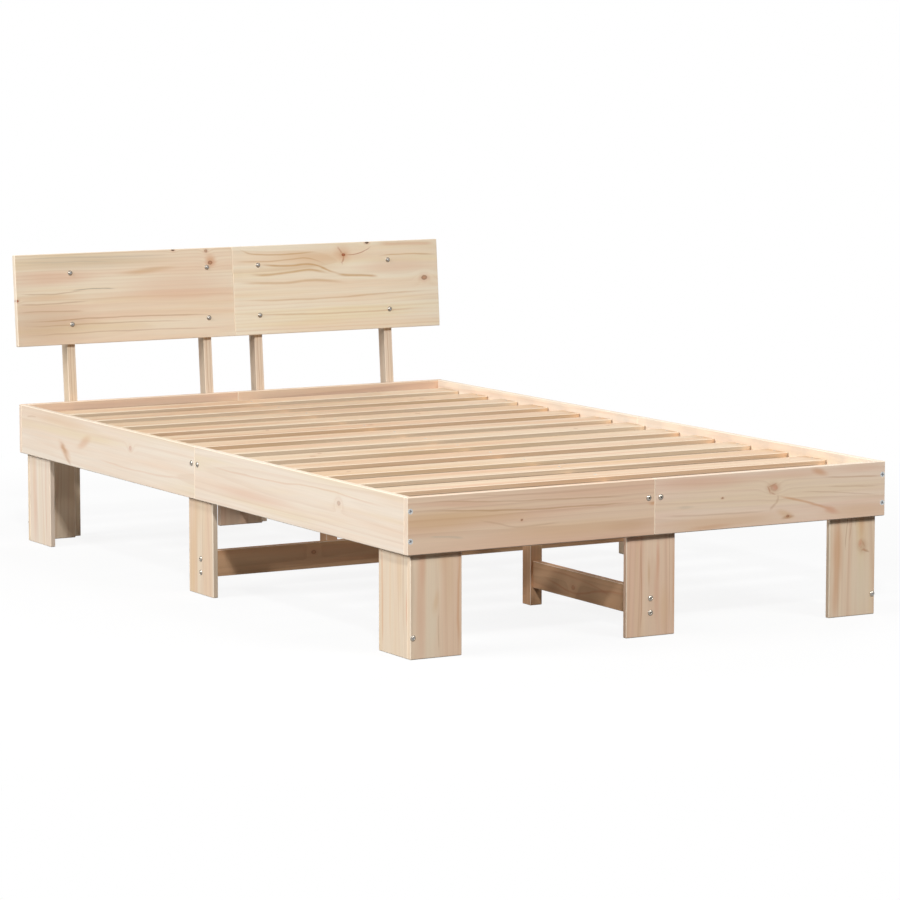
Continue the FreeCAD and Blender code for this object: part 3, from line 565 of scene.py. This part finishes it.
# Faces are the frame boards' outer ones, insides are their inner ones and the legs', and a leg's
# edge is the middle of its thickness.
END_FACE, SIDE_FACE = 1017.5, 617.5
END_INSIDE, SIDE_INSIDE = 1002.5, 602.5
END_LEG_INSIDE, SIDE_LEG_INSIDE = 989.5, 589.5
LEG_EDGE = 596
SEAM_HEIGHT, SEAM_SIDE = 309, 15.5
STRETCHER_ROWS, LEG_SCREW_ROWS = (52.5, 84.5), (47, 280)
POST_PLACES, POST_ROWS = (74.8, 464.7), (250.6, 299.8)
DECK_TOP, DECK_UNDERSIDE = 332, 320


def plated(name, pale, dull, roughness, spangle):
    """Zinc-plated steel: grey patches a few millimetres wide, and a fine uneven shine.

    The spangle is the patches' size in mm. The grain is 0.4 mm.
    """
    made = bpy.data.materials.new(name)
    made.use_nodes = True
    tree = made.node_tree
    shader = tree.nodes["Principled BSDF"]
    spot = add(tree, "TexCoord", {})["Object"]
    cloud = add(tree, "TexNoise", {"Vector": spot, "Scale": 1 / (spangle * MM), "Detail": 3})[0]
    cloud = add(tree, "MapRange", {0: cloud, 1: 0.35, 2: 0.65})[0]
    colour = add(tree, "Mix", {0: cloud, 6: linear(pale), 7: linear(dull)}, **COLOURS)[2]
    shine = add(tree, "MapRange", {0: cloud, 3: roughness, 4: roughness + 0.1})[0]
    grain = add(tree, "TexNoise", {"Vector": spot, "Scale": 2600, "Detail": 2})[0]
    relief = add(tree, "Bump", {"Height": grain, "Strength": 0.15, "Distance": 0.05 * MM})[0]
    for socket, source in (("Base Color", colour), ("Roughness", shine), ("Normal", relief)):
        tree.links.new(source, shader.inputs[socket])
    shader.inputs["Metallic"].default_value = 1.0
    return made


def hexagon(flats):
    """Radius by angle of a hexagon: half its width over the cosine from the nearest flat's middle."""
    return flats / 2 / np.cos(TURN % (math.pi / 3) - math.pi / 6)


def cross(span, width):
    """Radius by angle of a cross: each arm ends square, and two arms meet in a corner.

    It is half the span over the cosine from the nearest arm's middle, and at most half the arm's
    width over the sine.
    """
    off = np.abs((TURN + math.pi / 4) % (math.pi / 2) - math.pi / 4)
    return np.minimum(span / 2 / np.cos(off), width / 2 / np.sin(np.maximum(off, 1e-3)))


def rings(profile):
    """Rings from (radius, depth) pairs. Either may be one number or a number for each angle.

    A ring's points are its radius times the cosine and sine of the angle, at its depth.
    """
    radii = np.array([np.broadcast_to(radius, COUNT) for radius, depth in profile], float)
    depths = np.array([np.broadcast_to(depth, COUNT) for radius, depth in profile], float)
    return np.stack([radii * np.cos(TURN), radii * np.sin(TURN), depths], 2)


def thread(radius, core, pitch, start, end):
    """A rolled thread: the radius falls from crest to core and back once in each pitch and turn.

    It is radius minus the groove's depth times a rounded wave of depth / pitch - angle / full turn,
    and the groove fades in over the first pitch. Four rings to a pitch are enough to show it.
    """
    depths = np.arange(start, end, pitch / 4)
    wave = 0.5 - 0.5 * np.cos(2 * math.pi * depths[:, None] / pitch - TURN)
    fade = np.clip((depths[:, None] - start) / pitch, 0, 1)
    radii = radius - (radius - core) * wave ** 0.7 * fade
    return list(zip(radii, depths))


def dome_fastener(length, radius, core, pitch, point):
    """A domed head with a key socket, a plain neck, a rolled thread and its point, as rings.

    Depths count from the head's underside, so the dome is at less than nought. Its ball has the
    radius (r^2 + h^2) / 2h, for the dome's radius r and its height h above the rim. The key socket
    has a bevelled floor and a mouth eased by 0.2 mm.
    """
    rise = DOME_HEIGHT - RIM
    ball = (DOME_RADIUS ** 2 + rise ** 2) / 2 / rise

    def crown(reach):
        return ball - DOME_HEIGHT - np.sqrt(ball ** 2 - reach ** 2)

    mouth = hexagon(KEY_FLATS)
    edge = DOME_RADIUS - 0.15
    profile = [(mouth * 0.9, KEY_DEPTH - DOME_HEIGHT), (mouth, KEY_DEPTH - 0.15 - DOME_HEIGHT),
               (mouth, crown(mouth) + 0.2), (mouth + 0.2, crown(mouth + 0.2))]
    for share in (0.15, 0.35, 0.55, 0.75, 0.9, 1.0):
        reach = mouth * (1 - share) + edge * share
        profile.append((reach, crown(reach)))
    profile += [(DOME_RADIUS, 0.18 - RIM), (DOME_RADIUS, -0.1), (DOME_RADIUS - 0.1, 0)]
    profile += [(radius, 0), (radius, length * 0.3)]
    profile += thread(radius, core, pitch, length * 0.4, length - point)
    return rings(profile + [(core * 0.9, length - point * 0.9), (0.12 * core, length)])


def flush_screw(length, radius, head_radius, head_height, pitch, point):
    """A countersunk head with a cross recess, a plain neck, a rolled thread and a sharp point.

    Depths count from the head's flat top. The recess narrows to 0.55 of its mouth at half of the
    head's height, and the thread's core is two thirds of its crest.
    """
    mouth = cross(RECESS_SPAN * 2 * head_radius, RECESS_ARM * 2 * head_radius)
    profile = [(mouth * 0.55, 0.5 * head_height), (mouth * 0.92, 0.3 * head_height), (mouth, 0.06),
               (np.minimum(mouth + 0.1, 0.7 * head_radius), 0), (0.72 * head_radius, 0),
               (0.97 * head_radius, 0), (head_radius, 0.04 * head_height), (radius, head_height),
               (radius, length * 0.3)]
    profile += thread(radius, 0.66 * radius, pitch, length * 0.36, length - point)
    return rings(profile + [(0.6 * radius, length - point * 0.9), (0.05, length)])


def mirrored(places, ends=(1, -1)):
    """Seats (x, y, z, way x, way y, way z) and their mirror images in the bed's middle planes."""
    flips = np.array([(side, end, 1, side, end, 1) for side in (1, -1) for end in ends])
    seats = (np.array(places, float)[:, None] * flips).reshape(-1, 6)
    return np.unique(np.round(seats, 4) + 0.0, axis=0)


def fitted(group, shape, seats, material, hollow=False, recess_shade=None):
    """One shape of stacked rings at every seat of a group, each turned by chance about its way.

    A point of a ring goes to its seat plus its own x, y and depth along three square axes, of which
    the third is the seat's way. Faces join each ring to the next. A hollow shape's last ring joins
    its first, and another shape is closed by one face in each end ring. The recess of a shape, up to
    its third ring and with its bottom face, takes the second material if one is given, a darker
    plating that is painted shade.
    """
    points, ways = seats[:, :3] + BOARDS_MIDDLE, seats[:, 3:]
    helper = np.where(np.abs(ways[:, 2:]) > 0.9, (1.0, 0, 0), (0, 0, 1.0))
    side = np.cross(helper, ways)
    side /= np.linalg.norm(side, axis=1, keepdims=True)
    lift = np.cross(ways, side)
    spin = spin_dice.uniform(0, 2 * math.pi, (len(seats), 1))
    axes = np.stack([np.cos(spin) * side + np.sin(spin) * lift,
                     np.cos(spin) * lift - np.sin(spin) * side, ways], 1)
    vertices = np.einsum("rnc,scd->srnd", shape, axes) + points[:, None, None]

    count = len(shape)
    size = count * COUNT
    joined = np.arange(count if hollow else count - 1)
    around = np.arange(COUNT)
    ring, step = np.meshgrid(joined, around, indexing="ij")
    beside = (step + 1) % COUNT
    after = (ring + 1) % count
    quads = np.stack([ring * COUNT + step, ring * COUNT + beside, after * COUNT + beside,
                      after * COUNT + step], 2).reshape(-1, 4)
    shifts = np.arange(len(seats))[:, None, None] * size
    quads = (quads + shifts).reshape(-1, 4)
    caps = (np.stack([around[::-1], size - COUNT + around]) + shifts).reshape(-1, COUNT)
    caps = [] if hollow else caps.tolist()

    mesh = bpy.data.meshes.new(group)
    mesh.from_pydata((vertices.reshape(-1, 3) * MM).tolist(), [], quads.tolist() + caps)
    mesh.polygons.foreach_set("use_smooth", [True] * len(mesh.polygons))
    mesh.set_sharp_from_angle(angle=math.radians(38))
    mesh.materials.append(material)
    # Painted shade: the faces in the recess take the second, darker material
    if recess_shade:
        mesh.materials.append(recess_shade)
        in_recess = np.zeros(len(mesh.polygons), np.int32)
        in_recess[:len(quads)].reshape(len(seats), -1)[:, :2 * COUNT] = 1
        in_recess[len(quads)::2] = 1
        mesh.polygons.foreach_set("material_index", in_recess)
    piece = bpy.data.objects.new("fitted_" + group, mesh)
    bpy.context.scene.collection.objects.link(piece)
    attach(piece, "root")
    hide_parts(group)


# Painted reflection: the bolts' plated grey is tinted warm, like the pine round them
bright = plated("bright_plated_steel", "#A8A196", "#8A837A", 0.2, 2.5)
zinc = plated("dull_zinc_plate", "#CDCECC", "#AFB1B2", 0.34, 1.6)
# Painted shade: a darker grey for the screws' cross recesses and the domed screws' key sockets
recess = plated("painted_shade_in_the_recess", "#98999C", "#7C7E82", 0.5, 1.6)
# Painted shade: near black for the inside of the bolts' key sockets
socket = plated("painted_shade_in_the_key_socket", "#3E3B38", "#2A2826", 0.45, 1.6)

# Seam bolts, either side of each seam
seats = mirrored([(SEAM_SIDE, -END_FACE, SEAM_HEIGHT, 0, 1, 0),
                  (SIDE_FACE, -SEAM_SIDE, SEAM_HEIGHT, -1, 0, 0)])
fitted("seam_bolts", dome_fastener(35, **BOLT), seats, bright, recess_shade=socket)

# Frame bolts, through the middle legs into the stretchers and through the head rail into the posts
in_legs = [(0, -END_INSIDE, height, 0, 1, 0) for height in STRETCHER_ROWS]
in_legs += [(SIDE_INSIDE, 0, height, -1, 0, 0) for height in STRETCHER_ROWS]
in_posts = [(place, END_INSIDE, height, 0, 1, 0) for place in POST_PLACES for height in POST_ROWS]
seats = np.concatenate([mirrored(in_legs), mirrored(in_posts, ends=(1,))])
fitted("frame_bolts", dome_fastener(40, **BOLT), seats, bright, recess_shade=socket)

# Domed screws, low in the corner legs and in the headboard. The headboard's back, carried down,
# would meet the floor 2008.618 mm behind the foot board's face. A screw's seat is on its front, at
# one of two runs up the slope.
BACK_AT_FLOOR, PANEL_THICKNESS, PANEL_RUNS = 2008.618, 15, (547.634, 679.634)
sine, cosine = math.sin(math.radians(LEAN)), math.cos(math.radians(LEAN))
in_board = [(place, BACK_AT_FLOOR - PANEL_THICKNESS * cosine + run * sine - END_FACE,
             PANEL_THICKNESS * sine + run * cosine, 0, cosine, -sine)
            for place in POST_PLACES for run in PANEL_RUNS]
in_leg = [(LEG_EDGE, -END_INSIDE, LEG_SCREW_ROWS[0], 0, 1, 0)]
seats = np.concatenate([mirrored(in_leg), mirrored(in_board, ends=(1,))])
fitted("dome_screws", dome_fastener(38, **DOMED_SCREW), seats, bright, recess_shade=recess)

# Long screws, into the side rails' ends, down through the beam's lap and into the stretchers' ends
RAIL_MIDDLE, RAIL_ROWS, LAP_SCREW, CENTRE_POST_FACE = 610, (256, 320), 60, 481.5
seats = mirrored([(RAIL_MIDDLE, -END_FACE, height, 0, 1, 0) for height in RAIL_ROWS]
                 + [(0, LAP_SCREW, DECK_UNDERSIDE, 0, 0, -1)]
                 + [(0, -CENTRE_POST_FACE, height, 0, -1, 0) for height in STRETCHER_ROWS])
fitted("long_screws", flush_screw(55, **LONG_SCREW), seats, zinc, recess_shade=recess)

# Short screws from inside, through the corner legs and the middle legs into the frame boards
small = flush_screw(25, **SMALL_SCREW)
MIDDLE_SHIFT = 42
into_boards = []
for shift, height in ((40, 248), (86, 296)):
    into_boards += [(SIDE_INSIDE - shift, -END_LEG_INSIDE, height, 0, -1, 0),
                    (SIDE_LEG_INSIDE, shift - END_LEG_INSIDE, height, 1, 0, 0)]
for height in (248, 272):
    into_boards += [(MIDDLE_SHIFT, -END_LEG_INSIDE, height, 0, -1, 0),
                    (SIDE_LEG_INSIDE, -MIDDLE_SHIFT, height, 1, 0, 0)]
fitted("board_screws", small, mirrored(into_boards), zinc, recess_shade=recess)

# Screws through the ledgers, into the beam's ends and high in the corner legs
LEDGER_FACE, LEDGER_MIDDLE, LEDGER_HEIGHT = 577.5, 590, 305
FIRST_ROW, ROW_PITCH, BEAM_ROWS = -803.5, 226.83, (274, 294)
into_battens = [(LEDGER_FACE, FIRST_ROW + ROW_PITCH * number, LEDGER_HEIGHT, 1, 0, 0)
                for number in range(4)]
into_battens += [(0, -END_INSIDE, height, 0, 1, 0) for height in BEAM_ROWS]
into_battens += [(LEG_EDGE, -END_INSIDE, LEG_SCREW_ROWS[1], 0, 1, 0)]
fitted("batten_screws", flush_screw(35, **SMALL_SCREW), mirrored(into_battens), zinc,
       recess_shade=recess)

# Each slat has a screw at the beam. The first, middle and last one cross no ledger, and the others
# have a screw at each ledger too.
SLAT_PITCH = 154.2308
slat_rows = SLAT_PITCH * (np.arange(len(slats)) - len(slats) // 2)
on_ledger = slat_rows[[1, 2, 3, 4, 5, 7, 8, 9, 10, 11]]
into_slats = [(0, row, DECK_TOP, 0, 0, -1) for row in slat_rows]
into_slats += [(LEDGER_MIDDLE, row, DECK_TOP, 0, 0, -1) for row in on_ledger]
fitted("slat_screws", small, mirrored(into_slats, ends=(1,)), zinc, recess_shade=recess)

# Nuts. A plain hexagon nut stands behind each bolt in a leg or a post, its corners chamfered.
# The stretchers hold round barrel nuts, whose turned ends show in their blind holes.
# Sizes are in mm, and the slope is the chamfer's drop over its run.
NUT_FLATS, NUT_HEIGHT, NUT_BORE, NUT_FACE = 10, 5, 3.1, 5.15
CHAMFER_SLOPE, POCKET_FLOOR = 0.58, 1035.5
outer = hexagon(NUT_FLATS)
inner = np.full(COUNT, NUT_BORE)
chamfered = np.minimum(outer, NUT_FACE)
drop = (outer - chamfered) * CHAMFER_SLOPE
nut = rings([(inner, NUT_HEIGHT - 0.5), (inner, 0.5), (inner + 0.5, 0), (chamfered, 0),
             (outer, drop), (outer, NUT_HEIGHT - drop), (chamfered, NUT_HEIGHT),
             (inner + 0.5, NUT_HEIGHT)])
behind_legs = [(SEAM_SIDE, -END_LEG_INSIDE, SEAM_HEIGHT, 0, 1, 0),
               (SIDE_LEG_INSIDE, -SEAM_SIDE, SEAM_HEIGHT, -1, 0, 0)]
in_pockets = [(place, POCKET_FLOOR, height, 0, 1, 0)
              for place in POST_PLACES for height in POST_ROWS]
seats = np.concatenate([mirrored(behind_legs), mirrored(in_pockets, ends=(1,))])
fitted("hex_nuts", nut, seats, bright, hollow=True)
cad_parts["barrel_nuts"].material_slots[0].material = bright

# Studio. A pale floor that fades to white, one small lamp for crisp shadows, a large soft lamp at
# the left, one in front, a weaker one behind and a dim even light from all round.
FLOOR_SIZE = 80
FLOOR_SHADE = "#353331"
SHADOW_START, SHADOW_END, SHADOW_SHARE = 1.2, 2.6, 0.12
SKY_FILL = 0.05
LAMP_AIM = (0, 0, 0.3)


def seen_directly(tree):
    """One for rays from the camera and for those mirrored or let through, which show the background."""
    path = add(tree, "LightPath", {})
    direct = add(tree, "Math", {0: path["Is Camera Ray"], 1: path["Is Glossy Ray"]},
                 operation="MAXIMUM")[0]
    return add(tree, "Math", {0: direct, 1: path["Is Transmission Ray"]}, operation="MAXIMUM")[0]


def softbox(name, spot, size, watts):
    """A square area lamp at a spot, in metres, facing the middle of the bed."""
    lamp = bpy.data.lights.new(name, "AREA")
    lamp.size = size
    lamp.energy = watts
    holder = bpy.data.objects.new(name, lamp)
    bpy.context.scene.collection.objects.link(holder)
    holder.location = spot
    aim = Vector(LAMP_AIM) - Vector(spot)
    holder.rotation_euler = aim.to_track_quat("-Z", "Y").to_euler()


corner = FLOOR_SIZE / 2
floor_mesh = bpy.data.meshes.new("floor")
floor_mesh.from_pydata([(-corner, -corner, 0), (corner, -corner, 0), (corner, corner, 0),
                        (-corner, corner, 0)], [], [(0, 1, 2, 3)])
floor = bpy.data.objects.new("floor", floor_mesh)
bpy.context.scene.collection.objects.link(floor)

# Seen directly, the paint is white with a share of real shadow, which fades out between two
# distances in metres. For other rays it is a dark matt floor, so that it throws little light up
# under the boards.
paint = bpy.data.materials.new("white_studio_paint")
paint.use_nodes = True
tree = paint.node_tree
matt = tree.nodes["Principled BSDF"]
matt.inputs["Base Color"].default_value = linear(FLOOR_SHADE)
matt.inputs["Roughness"].default_value = 0.9
glow = add(tree, "Emission", {"Color": (1, 1, 1, 1), "Strength": 1.0})[0]
diffuse = add(tree, "BsdfDiffuse", {"Color": (0.9, 0.9, 0.9, 1)})[0]
ground_spot = add(tree, "TexCoord", {})["Object"]
from_bed = add(tree, "VectorMath", {0: ground_spot}, operation="LENGTH")["Value"]
shadow = add(tree, "MapRange", {0: from_bed, 1: SHADOW_START, 2: SHADOW_END, 3: SHADOW_SHARE, 4: 0.0},
             **SMOOTH)[0]
white = add(tree, "MixShader", {0: shadow, 1: glow, 2: diffuse})[0]
both = add(tree, "MixShader", {0: seen_directly(tree), 1: matt.outputs[0], 2: white})[0]
tree.links.new(both, tree.nodes["Material Output"].inputs["Surface"])
floor_mesh.materials.append(paint)

softbox("key_lamp", (-3.4, -6.6, 5.4), 0.6, 316)
softbox("left_softbox", (-7.8, 0.3, 4.3), 3.8, 640)
softbox("front_softbox", (2.2, -6.7, 5.6), 3.0, 312)
softbox("back_softbox", (6.0, 5.6, 4.4), 4.0, 260)

world = bpy.data.worlds.new("even_light")
world.use_nodes = True
bpy.context.scene.world = world
sky = world.node_tree.nodes["Background"]
level = add(world.node_tree, "MapRange", {0: seen_directly(world.node_tree), 3: SKY_FILL, 4: 1.0})[0]
world.node_tree.links.new(level, sky.inputs["Strength"])
sky.inputs["Color"].default_value = (1, 1, 1, 1)

# Camera. It stands at the foot's left, a little above the bed and far back with a long lens, and
# it is tipped down from level and turned to the right of straight ahead, both in radians.
TIP_DOWN, TURN_RIGHT = 0.1232, 0.5195
camera = bpy.data.cameras.new("camera")
camera.sensor_width = 36
camera.lens = 154.84
camera.clip_end = 100
viewer = bpy.data.objects.new("camera", camera)
bpy.context.scene.collection.objects.link(viewer)
viewer.location = (-4.53720, -8.08192, 1.44804)
viewer.rotation_euler = (math.pi / 2 - TIP_DOWN, 0, -TURN_RIGHT)
bpy.context.scene.camera = viewer
bpy.context.scene.view_settings.view_transform = "Standard"
